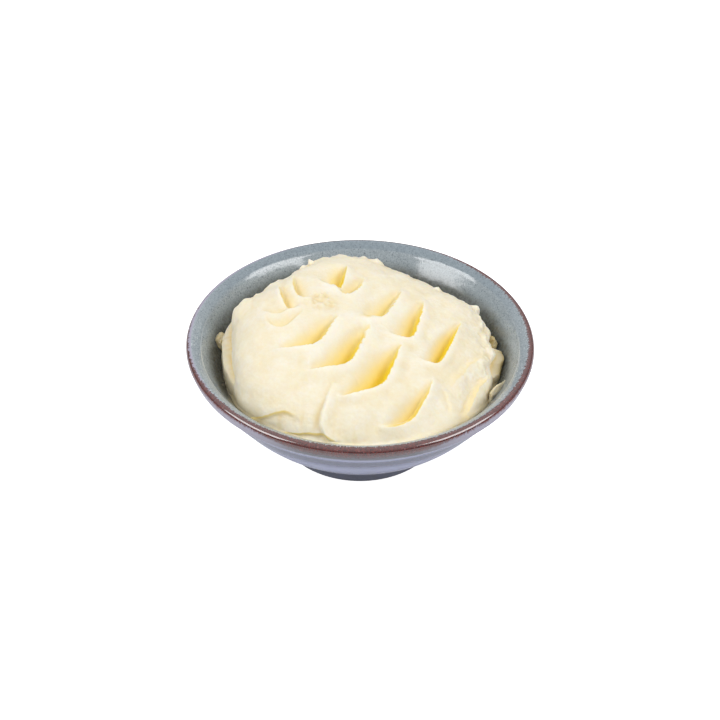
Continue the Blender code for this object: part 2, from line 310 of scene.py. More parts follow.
def turned_mesh(name, profile, steps):
    """A closed turned piece from a section that starts and ends on the axis."""
    rings = profile[1:-1]
    angles = np.linspace(0.0, 2.0 * math.pi, steps, endpoint=False)
    points = [(0.0, 0.0, profile[0][1])]
    for radius, height in rings:
        points += [(radius * math.cos(a), radius * math.sin(a), height) for a in angles]
    points.append((0.0, 0.0, profile[-1][1]))
    faces = []
    for k in range(steps):
        after = (k + 1) % steps
        faces.append((0, 1 + k, 1 + after))
        for ring in range(len(rings) - 1):
            low, high = 1 + ring * steps, 1 + (ring + 1) * steps
            faces.append((low + k, high + k, high + after, low + after))
        last = 1 + (len(rings) - 1) * steps
        faces.append((len(points) - 1, last + after, last + k))
    return make_mesh(name, points, faces)


def section_runs(profile, crown, steps):
    """Distance along the section from the rim's crown for each point of a turned piece."""
    lengths = np.linalg.norm(np.diff(profile, axis=0), axis=1)
    runs = np.concatenate([[0.0], np.cumsum(lengths)])
    runs -= runs[crown]
    return np.concatenate([runs[:1], np.repeat(runs[1:-1], steps), runs[-1:]])


# ----------------------------------------------------------------------------------------------
# Mash
# ----------------------------------------------------------------------------------------------


def side_radius(turn):
    """Radius of the heap's steep side in the direction turn in radians, with its flat sides."""
    plain = HEAP_RADIUS + FRONT_SWELL * smooth(0.35, 0.8, -np.sin(turn))
    inverse = plain**-CORNER_TIGHTNESS
    for direction, distance in FLAT_SIDES:
        facing = np.clip(np.cos(turn - math.radians(direction)), 0.05, 1.0)
        inverse += (facing / distance) ** CORNER_TIGHTNESS
    return inverse ** (-1.0 / CORNER_TIGHTNESS)


def contact_radius(turn):
    """Radius at which the mash meets the bowl's wall."""
    return side_radius(turn) + CONTACT_GAP


def heap_points(turn, spread):
    """Points on the plain heap: turn is the direction, spread runs from 0 on top to 1 at the wall."""
    side = side_radius(turn)
    contact = contact_radius(turn)
    foot = inside_height(contact) + 0.4
    swing = np.clip(spread / FOOT_SPREAD, 0.0, 1.0) * math.pi / 2.0
    apron = np.clip((spread - FOOT_SPREAD) / (1.0 - FOOT_SPREAD), 0.0, 1.0)
    radius = side * np.sin(swing) ** (2.0 / HEAP_FULLNESS)
    x, y = radius * np.cos(turn), radius * np.sin(turn)
    top = HEAP_TOP + HEAP_TILT[0] * x + HEAP_TILT[1] * y
    rise = np.clip(np.cos(swing), 0.0, 1.0) ** (2.0 / HEAP_FULLNESS)
    plain = HEAP_FOOT + (top - HEAP_FOOT) * rise
    height = foot + 0.5 * (plain - foot + np.sqrt((plain - foot) ** 2 + 1.0))
    radius = radius + apron * (contact - radius)
    height = height + apron * (inside_height(contact, -WALL_BITE) - height)
    return np.stack([radius * np.cos(turn), radius * np.sin(turn), height], axis=-1)


def kept_inside(points):
    """Points moved in where they would pass through the bowl's inside wall or above the solids."""
    wall, slope = inside_wall(-WALL_BITE)
    limit = wall[0] + (points[:, 2] - wall[1]) / slope
    radius = np.hypot(points[:, 0], points[:, 1])
    share = np.minimum(1.0, limit / np.maximum(radius, 1e-6))
    height = np.minimum(points[:, 2], CAD_BOX[1].z / MM - TOP_SPARE)
    return np.column_stack([points[:, 0] * share, points[:, 1] * share, height])


def disc_grid(size):
    """Direction and spread of each point of a square grid laid ring for ring on a disc."""
    line = np.linspace(-1.0, 1.0, size + 1)
    a, b = np.meshgrid(line, line)
    spread = np.maximum(np.abs(a), np.abs(b))
    wide = np.abs(a) > np.abs(b)
    safe_a = np.where(a == 0.0, 1.0, a)
    safe_b = np.where(b == 0.0, 1.0, b)
    across = math.pi / 4.0 * b / safe_a + np.where(a < 0, math.pi, 0.0)
    along = math.pi / 2.0 - math.pi / 4.0 * a / safe_b + np.where(b < 0, math.pi, 0.0)
    return np.where(wide, across, along).ravel(), spread.ravel()


def grid_normals(points, size):
    """Normals of a square grid of points, from the cross product of its two directions."""
    sheet = points.reshape(size + 1, size + 1, 3)
    along = np.gradient(sheet, axis=1)
    across = np.gradient(sheet, axis=0)
    normals = np.cross(along, across).reshape(-1, 3)
    return normals / np.linalg.norm(normals, axis=1, keepdims=True)


def crest_curve(first, corner, last, tightness):
    """Points of a crest, one conic from its first end to its last."""
    t = np.linspace(0.0, 1.0, CREST_SAMPLES + 1)[:, None]
    parts = ((1 - t) ** 2, 2 * tightness * t * (1 - t), t**2)
    return sum(w * np.array(p, float) for w, p in zip(parts, (first, corner, last))) / sum(parts)


def crest_distance(places, crest):
    """Distance from each place to the crest, negative on the hollow's side."""
    best = np.full(len(places), 1e9)
    signed = np.zeros(len(places))
    for start, end in zip(crest[:-1], crest[1:]):
        run = end - start
        share = np.clip(((places - start) @ run) / (run @ run), 0.0, 1.0)
        away = places - start - share[:, None] * run
        length = np.hypot(away[:, 0], away[:, 1])
        side = np.where(run[0] * away[:, 1] - run[1] * away[:, 0] > 0, 1.0, -1.0)
        closer = length < best
        best = np.where(closer, length, best)
        signed = np.where(closer, length * side, signed)
    return signed


def crest_heights(distance, drop, rise, wall_width):
    """Height across a crest: its lip falls away in front, and a rounded wall drops into the hollow."""
    left = 1.0 - np.clip(-distance / wall_width, 0.0, 1.0)
    wall = np.sqrt(1.0 - left**2) * smooth(0.0, CREST_EDGE, -distance)
    lip = np.where(distance > 0, np.exp(-((distance / CREST_REACH) ** 2)), 1.0)
    return rise * lip * (1.0 - wall) - drop * wall


def shade_depth(distance, drop):
    """Depth that sets the painted shade in a hollow; it starts right at the crest."""
    return drop * smooth(-0.1, 0.25, -distance)


def mark_heights(places, mark, rough):
    """How much a spoon mark raises or lowers the heap at each plan point, and the depth of its painted shade."""
    first, corner, last, tightness, depth, reach = mark
    crest = crest_curve(first, corner, last, tightness)
    length = np.linalg.norm(crest[-1] - crest[0])
    along = (crest[-1] - crest[0]) / length
    push = np.array([-along[1], along[0]])
    side = (places - crest[0]) @ along
    ahead = (places - crest[0]) @ push
    near = (side > -4.0) & (side < length + 4.0) & (np.abs(ahead) < length)
    side, ahead = side[near], ahead[near]
    edge = np.interp(side, (crest - crest[0]) @ along, (crest - crest[0]) @ push)
    back = -reach * np.sin(np.clip(side / length, 0.0, 1.0) * math.pi) ** 0.8
    width = np.maximum(edge - back, 0.0)
    full = np.max((crest - crest[0]) @ push) + reach
    scoop = np.clip((ahead - back) / np.maximum(width, 0.01), 0.0, 1.0)
    drop = depth * (width / full) ** 0.8 * scoop**MARK_SCOOP
    distance = crest_distance(places[near], crest)
    distance += rough[near] * np.exp(-((distance / ROUGH_REACH) ** 2))
    rise = CREST_RISE * min(1.0, depth / 4.0)
    ends = smooth(-2.0, 3.0, side) * (1.0 - smooth(length - 3.0, length + 2.0, side))
    heights, shade_amount = np.zeros(len(places)), np.zeros(len(places))
    heights[near] = ends * crest_heights(distance, drop, rise, WALL_SHARE * depth)
    deep = FULL_SHADE * (depth / FULL_SHADE) ** 0.75 * (width / full) ** 0.5
    shade_amount[near] = ends * shade_depth(distance, deep * scoop**SHADE_SCOOP)
    return heights, shade_amount


def fold_heights(flank, fold, rough):
    """The same for a fold on the flank; flank is the distance round and the height of each point."""
    first, corner, last, tightness, depth, reach, rise, wall_width, shade_strength = fold
    points = [(math.radians(p[0]) * HEAP_RADIUS, p[1]) for p in (first, corner, last)]
    crest = crest_curve(*points, tightness)
    along = (crest[-1] - crest[0]) / np.linalg.norm(crest[-1] - crest[0])
    middle = (crest[0] + crest[-1]) / 2.0
    half = np.linalg.norm(crest[-1] - crest[0]) / 2.0
    side = (flank - middle) @ along
    near = (np.abs(side) < 1.3 * half) & (np.linalg.norm(flank - middle, axis=1) < half + 2 * reach)
    fade = 1.0 - smooth(0.5, 1.1, np.abs(side[near]) / half)
    distance = crest_distance(flank[near], crest) + rough[near]
    drop = depth * np.clip(1.0 + distance / reach, 0.0, 1.0) ** FOLD_SCOOP
    heights, shade_amount = np.zeros(len(flank)), np.zeros(len(flank))
    heights[near] = fade * crest_heights(distance, drop, rise, wall_width)
    # Painted shade along the fold's crease
    narrow = np.exp(-((distance / (FOLD_LINE * reach)) ** 2))
    shade_amount[near] = shade_strength * fade * narrow * smooth(-0.3, 0.2, -distance)
    return heights, shade_amount


def layer_heights(around, height, wobble):
    """The lower layer that stands out below the worked one, with a groove between them, and where it is."""
    heights, layer = np.zeros(len(around)), np.zeros(len(around))
    for direction, half, top, radius in LOWER_LAYERS:
        away = np.degrees(np.angle(np.exp(1j * (around - math.radians(direction)))))
        out = np.maximum(radius - side_radius(around), 0.0)
        within = 1.0 - smooth(0.8 * half, 1.2 * half, np.abs(away))
        above = height - top - wobble
        below = within * (1.0 - smooth(-1.2, 0.0, above))
        heights += out * below - LAYER_GROOVE * within * np.exp(-((above / 0.8) ** 2)) * (out > 0.5)
        layer = np.maximum(layer, below)
    return heights, layer


def blurred(values, size, reach):
    """Values on the heap's grid, each averaged with its neighbours up to reach steps away."""
    grid = values.reshape(size + 1, size + 1)
    for axis in (0, 1):
        spare = [(0, 0), (0, 0)]
        spare[axis] = (reach + 1, reach)
        total = np.cumsum(np.pad(grid, spare, mode="edge"), axis=axis)
        ahead, behind = [slice(None)] * 2, [slice(None)] * 2
        ahead[axis], behind[axis] = slice(2 * reach + 1, None), slice(None, -2 * reach - 1)
        grid = (total[tuple(ahead)] - total[tuple(behind)]) / (2 * reach + 1)
    return grid.reshape(-1)


def split_quads(points, quads):
    """Two triangles for each quad, split along its shorter diagonal, so that steep walls stay clean."""
    a, b, c, d = quads.T
    plain = np.linalg.norm(points[a] - points[c], axis=1) <= np.linalg.norm(points[b] - points[d], axis=1)
    first = np.where(plain[:, None], quads[:, [0, 1, 2]], quads[:, [0, 1, 3]])
    second = np.where(plain[:, None], quads[:, [0, 2, 3]], quads[:, [1, 2, 3]])
    return [tuple(t) for t in np.concatenate([first, second]).tolist()]


def heap_mesh():
    """The mash as one closed mesh: the worked top, and a plain underside that follows the bowl."""
    turn, spread = disc_grid(HEAP_GRID)
    points = heap_points(turn, spread)
    normals = grid_normals(points, HEAP_GRID)
    places = points[:, :2].copy()
    rough = 0.35 * lumps(points, 4.0, 1) + 0.22 * lumps(points, 1.7, 2)
    around = np.arctan2(places[:, 1], places[:, 0])
    flank = np.column_stack([around * HEAP_RADIUS, points[:, 2]])
    on_flank = (points[:, 2] < FLANK_HIGH) & (np.hypot(places[:, 0], places[:, 1]) > 0.7 * HEAP_RADIUS)
    heights, shade_amount = np.zeros(len(points)), np.zeros(len(points))
    for mark in MARKS:
        raised, shade_added = mark_heights(places, mark, rough)
        heights += raised
        shade_amount = np.maximum(shade_amount, shade_added)
    for fold in FOLDS:
        raised, shade_added = fold_heights(flank, fold, rough)
        heights += np.where(on_flank, raised, 0.0)
        shade_amount = np.maximum(shade_amount, np.where(on_flank, shade_added, 0.0))

    shoulder = smooth(0.45, 0.7, spread) * (1.0 - smooth(0.92, 0.97, spread))
    rugged = shoulder * smooth(-0.3, 0.5, np.sin(around) + 0.7 * np.cos(around))
    waver = places[:, 0] + 1.6 * lumps(points, 9.0, 14)
    scraped = np.column_stack([waver / 2.3, points[:, 2] / 18.0, np.zeros(len(points))])
    scrape = shoulder * smooth(0.2, 0.8, -np.sin(around)) * smooth(-0.2, 0.4, -np.cos(around))
    scrape *= smooth(-0.25, 0.35, lumps(points, 11.0, 15))
    patch = 1.0 - smooth(0.5, 1.1, np.hypot(*(places - CRUMBLY_PATCH[0]).T) / CRUMBLY_PATCH[1])
    heights += 0.6 * lumps(points, 15.0, 6) + 0.4 * lumps(points, 7.0, 3)
    heights += 0.16 * lumps(points, 3.2, 4) + 0.08 * lumps(points, 1.4, 5)
    ridges = 0.5 - 2.2 * np.abs(lumps(points, 7.0, 7)) + 0.5 * lumps(points, 3.0, 13)
    above = points[:, 2] - 40.0 - 8.0 * smooth(0.2, 0.8, np.sin(around))
    heights += rugged * smooth(0.0, 4.0, above) * (0.9 * ridges + 0.3 * lumps(points, 1.6, 8))
    for peak, radius, height in PEAKS:
        away = np.linalg.norm(points - peak, axis=1) + 0.3 * rough * radius
        heights += height * np.clip(1.0 - away / radius, 0.0, 1.0)
    streak = scrape * lumps(scraped, 1.0, 9)
    heights += 0.3 * streak
    heights += patch * (1.1 * lumps(points, 2.2, 10) + 0.7 * lumps(points, 1.1, 11))
    side_wobble = 0.6 * lumps(np.column_stack([places, 0.0 * around]), 4.0, 12)
    ledge, layer = layer_heights(around, points[:, 2], side_wobble)
    heights += ledge * smooth(0.75, 0.85, spread)
    heights *= 1.0 - smooth(0.985, 1.0, spread)
    # Painted shade in creases, from how far each point lies below its blurred surroundings
    sunk = blurred(heights, HEAP_GRID, 6) - heights
    crease = np.clip(sunk, 0.0, 1.0)
    # A painted highlight on lips, from how far each point stands above its blurred surroundings
    raised = np.clip(-sunk / HIGHLIGHT_FULL, 0.0, 1.0)
    # Painted shade on the low layers, fuller on the right side
    layer *= smooth(0.75, 0.85, spread) * np.where(places[:, 0] > 0.0, 1.0, 0.45)
    streak = np.clip(-2.0 * streak, 0.0, 1.0)
    points = kept_inside(points + normals * heights[:, None])
    # Painted shade in the hollows, weaker on steep walls that face the back
    backward = grid_normals(points, HEAP_GRID)[:, 1]
    hollow = np.clip(shade_amount / DEEPEST, 0.0, 1.0) * (1.0 - BACK_PALER * smooth(0.4, 0.65, backward))
    crease *= 1.0 - smooth(0.1, 0.3, hollow)
    # Painted shade on the mash close to the bowl's wall, towards the sides
    wall, slope = inside_wall()
    clear = wall[0] + (points[:, 2] - wall[1]) / slope - np.hypot(points[:, 0], points[:, 1])
    beside = (1.0 - smooth(0.0, EDGE_SHADE_REACH, clear)) * smooth(20.0, 42.0, np.abs(places[:, 0]))
    layer = np.maximum(layer, EDGE_SHADE * beside)

    side = HEAP_GRID + 1
    index = np.arange(side * side).reshape(side, side)
    quads = np.stack([index[:-1, :-1], index[:-1, 1:], index[1:, 1:], index[1:, :-1]], axis=-1)
    faces = split_quads(points, quads.reshape(-1, 4))
    rim = np.concatenate([index[0, :-1], index[:-1, -1], index[-1, :0:-1], index[:0:-1, 0]])
    ring = rim
    out = points[rim, :2] / np.linalg.norm(points[rim, :2], axis=1, keepdims=True)
    count = len(points)
    layers = [points]
    for radius, height in reversed(floor_curve(0.1, 6)):
        layers.append(np.column_stack([out * radius, np.full(len(rim), height)]))
        lower = count + np.arange(len(rim))
        count += len(rim)
        around = np.stack([ring, lower, np.roll(lower, -1), np.roll(ring, -1)], axis=-1)
        faces += [tuple(q) for q in around.tolist()]
        ring = lower
    layers.append(np.array([[0.0, 0.0, layers[-1][0, 2]]]))
    faces += [(count, b, a) for a, b in zip(ring.tolist(), np.roll(ring, -1).tolist())]
    points = np.concatenate(layers)
    heap = make_mesh("mash_heap", points, faces)
    # The hollow, crease and lower masks carry painted shade and the raised mask a painted highlight; the streak mask
    # is the mash's own tone
    masks = {"hollow": hollow, "crease": crease, "streak": np.maximum(streak, 0.5 * patch)}
    masks.update({"lower": layer, "raised": raised})
    for name, values in masks.items():
        add_values(heap, name, np.pad(values, (0, len(points) - len(values))))
    return heap


def crumbs_mesh():
    """The loose lumps beside the heap, each a closed lumpy ellipsoid, as one mesh."""
    across, around = 30, 48
    points, faces, shade_shares = [], [], []
    for seed, (centre, halves, turn, tilt, taper, tone) in enumerate(CRUMBS):
        lift = np.linspace(0.0, math.pi, across + 1)[1:-1]
        spin = np.linspace(0.0, 2.0 * math.pi, around, endpoint=False)
        lift, spin = [g.reshape(-1) for g in np.meshgrid(lift, spin, indexing="ij")]
        ball = np.column_stack([np.sin(lift) * np.cos(spin), np.sin(lift) * np.sin(spin), np.cos(lift)])
        ball = np.vstack([[0.0, 0.0, 1.0], ball, [0.0, 0.0, -1.0]])
        swell = 1.1 + 0.3 * lumps(ball, 0.8, 20 + seed) - 0.3 * np.abs(lumps(ball, 0.5, 30 + seed))
        swell += 0.07 * lumps(ball, 0.18, 40 + seed)
        narrow = 1.0 - taper * ball[:, 1:2] * np.array([1.0, 0.0, 1.0])
        shape = ball * swell[:, None] * narrow * np.array(halves)
        shade_shares += [tone] * len(ball)
        placed = Matrix.Rotation(math.radians(turn), 3, "Z") @ Matrix.Rotation(math.radians(tilt), 3, "X")
        base = len(points)
        points += [np.array(placed @ Vector(p)) + centre for p in shape]
        last = base + len(ball) - 1
        for k in range(around):
            after = (k + 1) % around
            faces.append((base, base + 1 + k, base + 1 + after))
            for ring in range(across - 2):
                low, high = base + 1 + ring * around, base + 1 + (ring + 1) * around
                faces.append((low + k, high + k, high + after, low + after))
            low = base + 1 + (across - 2) * around
            faces.append((last, low + after, low + k))
    crumbs = make_mesh("mash_crumbs", kept_inside(np.array(points)), faces)
    # Each lump's painted shade goes in the lower mask
    add_values(crumbs, "lower", shade_shares)
    return crumbs


# ----------------------------------------------------------------------------------------------
# Materials
# ----------------------------------------------------------------------------------------------


def shade(colour):
    """A colour given from 0 to 255 as displayed, as a linear colour."""
    parts = [c / 255.0 for c in colour]
    return tuple(p / 12.92 if p <= 0.04045 else ((p + 0.055) / 1.055) ** 2.4 for p in parts) + (1.0,)


def add_node(tree, kind, inputs, **settings):
    """A node with its settings; each input is a value or the output that feeds it."""
    node = tree.nodes.new(kind)
    for name, value in settings.items():
        setattr(node, name, value)
    for name, value in inputs.items():
        if isinstance(value, bpy.types.NodeSocket):
            tree.links.new(value, node.inputs[name])
        else:
            node.inputs[name].default_value = value
    return node


def calculate(tree, operation, first, second=0.0, third=0.0):
    node = add_node(tree, "ShaderNodeMath", {0: first, 1: second, 2: third}, operation=operation)
    return node.outputs[0]


def blend(tree, share, first, second):
    """A colour that goes from the first to the second as share goes from 0 to 1."""
    node = add_node(tree, "ShaderNodeMix", {0: share, 6: first, 7: second}, data_type="RGBA")
    return node.outputs[2]


def step(tree, value, low, high, first=0.0, last=1.0):
    """A smooth step from first to last as value goes from low to high."""
    inputs = {"Value": value, 1: low, 2: high, 3: first, 4: last}
    return add_node(tree, "ShaderNodeMapRange", inputs, interpolation_type="SMOOTHSTEP").outputs[0]


def make_group(name, inputs, outputs):
    """A shader node group with named inputs (name, kind, default) and outputs (name, kind)."""
    group = bpy.data.node_groups.new(name, "ShaderNodeTree")
    for socket, kind, default in inputs:
        item = group.interface.new_socket(socket, in_out="INPUT", socket_type=kind)
        item.default_value = default
    for socket, kind in outputs:
        group.interface.new_socket(socket, in_out="OUTPUT", socket_type=kind)
    return group, group.nodes.new("NodeGroupInput"), group.nodes.new("NodeGroupOutput")


FLOAT, VECTOR, COLOUR = "NodeSocketFloat", "NodeSocketVector", "NodeSocketColor"


def make_specks_group():
    """Scattered round specks of one size that cover a share of the surface's cells."""
    inputs = (("Place", VECTOR, (0, 0, 0)), ("Size", FLOAT, 1.0), ("Cover", FLOAT, 0.3))
    group, start, end = make_group("scattered_specks", inputs, (("Mask", FLOAT),))
    scale = calculate(group, "DIVIDE", 1.0, start.outputs["Size"])
    cells = add_node(group, "ShaderNodeTexVoronoi", {"Vector": start.outputs["Place"], "Scale": scale})
    split = add_node(group, "ShaderNodeSeparateColor", {"Color": cells.outputs["Color"]})
    chosen = calculate(group, "LESS_THAN", split.outputs[0], start.outputs["Cover"])
    reach = calculate(group, "MULTIPLY_ADD", split.outputs[1], 0.25, 0.25)
    inner = calculate(group, "MULTIPLY", reach, 0.5)
    dot = step(group, cells.outputs["Distance"], inner, reach, 1.0, 0.0)
    group.links.new(calculate(group, "MULTIPLY", chosen, dot), end.inputs["Mask"])
    return group


def make_mottle_group():
    """Cloudy patches of one size, from 0 to 1."""
    inputs = (("Place", VECTOR, (0, 0, 0)), ("Size", FLOAT, 10.0), ("Softness", FLOAT, 0.15))
    group, start, end = make_group("cloudy_patches", inputs, (("Mask", FLOAT),))
    scale = calculate(group, "DIVIDE", 1.0, start.outputs["Size"])
    noise_inputs = {"Vector": start.outputs["Place"], "Scale": scale, "Detail": 3.0, "Roughness": 0.6}
    clouds = add_node(group, "ShaderNodeTexNoise", noise_inputs)
    low = calculate(group, "SUBTRACT", 0.5, start.outputs["Softness"])
    high = calculate(group, "ADD", 0.5, start.outputs["Softness"])
    group.links.new(step(group, clouds.outputs[0], low, high), end.inputs["Mask"])
    return group


def make_rim_group():
    """Where the glaze breaks brown over the rim; Run is the distance along the section from the crown."""
    inputs = (("Run", FLOAT, 0.0), ("Ragged", FLOAT, 0.0), ("Start", FLOAT, -0.6), ("End", FLOAT, 5.4))
    group, start, end = make_group("rim_break", inputs, (("Mask", FLOAT),))
    run = calculate(group, "ADD", start.outputs["Run"], start.outputs["Ragged"])
    begun = calculate(group, "SUBTRACT", run, start.outputs["Start"])
    left = calculate(group, "SUBTRACT", start.outputs["End"], run)
    inner = step(group, begun, -0.15, 0.35)
    outer = step(group, left, -0.6, 0.9)
    group.links.new(calculate(group, "MULTIPLY", inner, outer), end.inputs["Mask"])
    return group


def make_mash_tone_group():
    """Colour of the mash: cream, with painted shade (yellower in hollows, warmer in creases, darker low down) and a
    painted highlight on raised lips.
    """
    inputs = (("Hollow Shade", FLOAT, 0.0), ("Crease Shade", FLOAT, 0.0), ("Patches", FLOAT, 0.5), ("Flecks", FLOAT, 0.0))
    inputs += (("Streak", FLOAT, 0.0), ("Low Shade", FLOAT, 0.0), ("Raised Highlight", FLOAT, 0.0))
    group, start, end = make_group("mash_tone", inputs, (("Color", COLOUR),))
    base = blend(group, start.outputs["Patches"], shade(MASH_PALE), shade(MASH_CREAM))
    base = blend(group, calculate(group, "MULTIPLY", start.outputs["Flecks"], 0.2), base, shade(MASH_FLECK))
    base = blend(group, calculate(group, "MULTIPLY", start.outputs["Streak"], 0.6), base, shade(MASH_FLECK))
    base = blend(group, calculate(group, "MULTIPLY", start.outputs["Raised Highlight"], 0.4), base, shade(MASH_HIGHLIGHT))
    base = blend(group, start.outputs["Crease Shade"], base, shade(MASH_CREASE_SHADE))
    base = blend(group, start.outputs["Low Shade"], base, shade(MASH_LOW_SHADE))
    base = blend(group, step(group, start.outputs["Hollow Shade"], 0.06, 0.5), base, shade(MASH_HOLLOW_SHADE))
    base = blend(group, step(group, start.outputs["Hollow Shade"], 0.35, 0.9), base, shade(MASH_DEEP_SHADE))
    group.links.new(base, end.inputs["Color"])
    return group


def make_grain_group():
    """Fine uneven grain of the mash, as heights in millimetres."""
    group, start, end = make_group("potato_grain", (("Place", VECTOR, (0, 0, 0)),), (("Height", FLOAT),))
    place = start.outputs["Place"]
    soft = add_node(group, "ShaderNodeTexNoise", {"Vector": place, "Scale": 0.9, "Detail": 4.0, "Roughness": 0.62})
    pits = add_node(group, "ShaderNodeTexVoronoi", {"Vector": place, "Scale": 1.4})
    grains = step(group, pits.outputs["Distance"], 0.1, 0.7, 1.0, 0.0)
    height = calculate(group, "MULTIPLY_ADD", soft.outputs[0], 0.12, calculate(group, "MULTIPLY", grains, 0.02))
    group.links.new(height, end.inputs["Height"])
    return group


MASH_CREAM = (241, 231, 203)
MASH_PALE = (243, 237, 220)
# Painted highlight on raised lips
MASH_HIGHLIGHT = (251, 249, 240)
MASH_FLECK = (234, 212, 158)
# Painted shade in creases
MASH_CREASE_SHADE = (230, 209, 156)
# Painted shade on low layers, crumbs and the mash beside the bowl's wall
MASH_LOW_SHADE = (182, 163, 114)
# Painted shade in hollows, deepest by the crests
MASH_HOLLOW_SHADE = (240, 218, 152)
MASH_DEEP_SHADE = (240, 207, 44)

GLAZE_WALL = (130, 140, 136)
# Painted shadow of the mash on the inside wall
GLAZE_MASH_SHADOW = (56, 56, 42)
GLAZE_LIP = (163, 174, 181)
# The lip at the back, painted darker as shade
GLAZE_LIP_BACK_SHADE = (136, 150, 160)
GLAZE_PALE = (180, 192, 200)
GLAZE_SPECK = (78, 86, 94)
GLAZE_FLECK = (222, 228, 232)
GLAZE_BROWN = (122, 52, 46)
GLAZE_BROWN_DARK = (52, 18, 22)
GLAZE_BROWN_PALE = (160, 118, 122)
# Outer face of the lip, painted darker at the front as shade under the lip; lighter at the sides
GLAZE_FACE_SHADE = (116, 116, 122)
GLAZE_FACE_SIDE = (166, 162, 180)
GLAZE_OUTSIDE = (168, 174, 209)
# Painted shade in a ring round the outside, between the lighter rings
GLAZE_BAND_SHADE = (82, 88, 114)
# The foot's darker colour, partly its own and partly painted shade beneath the bowl
GLAZE_FOOT_AND_SHADE = (121, 124, 138)


def place_in_millimetres(tree):
    coordinates = add_node(tree, "ShaderNodeTexCoord", {})
    inputs = {0: coordinates.outputs["Object"], "Scale": 1000.0}
    return add_node(tree, "ShaderNodeVectorMath", inputs, operation="SCALE").outputs[0]


def use_group(tree, group, inputs):
    """The single output of a group placed in a tree."""
    node = tree.nodes.new("ShaderNodeGroup")
    node.node_tree = group
    for name, value in inputs.items():
        if isinstance(value, bpy.types.NodeSocket):
            tree.links.new(value, node.inputs[name])
        else:
            node.inputs[name].default_value = value
    return node.outputs[0]


def named_value(tree, name):
    return add_node(tree, "ShaderNodeAttribute", {}, attribute_name=name).outputs["Fac"]


def mash_material(groups):
    material = bpy.data.materials.new("mash_cream")
    material.use_nodes = True
    tree = material.node_tree
    shader = tree.nodes["Principled BSDF"]
    place = place_in_millimetres(tree)
    patches = use_group(tree, groups["mottle"], {"Place": place, "Size": 9.0, "Softness": 0.25})
    flecks = use_group(tree, groups["mottle"], {"Place": place, "Size": 1.3, "Softness": 0.2})
    hollow = named_value(tree, "hollow")
    crease = named_value(tree, "crease")
    streak = named_value(tree, "streak")
    # The hollow, crease and lower masks bring painted shade into the colour, the raised mask a painted highlight
    tone_inputs = {"Hollow Shade": hollow, "Crease Shade": crease, "Patches": patches, "Flecks": flecks, "Streak": streak}
    tone_inputs.update({"Low Shade": named_value(tree, "lower"), "Raised Highlight": named_value(tree, "raised")})
    tree.links.new(use_group(tree, groups["tone"], tone_inputs), shader.inputs["Base Color"])
    height = use_group(tree, groups["grain"], {"Place": place})
    bump = add_node(tree, "ShaderNodeBump", {"Height": height, "Distance": 0.001, "Strength": 1.0})
    tree.links.new(bump.outputs[0], shader.inputs["Normal"])
    shader.inputs["Roughness"].default_value = 0.55
    shader.inputs["Specular IOR Level"].default_value = 0.25
    shader.inputs["Subsurface Weight"].default_value = 0.35
    shader.inputs["Subsurface Radius"].default_value = (1.0, 0.8, 0.4)
    shader.inputs["Subsurface Scale"].default_value = 0.0025
    return material


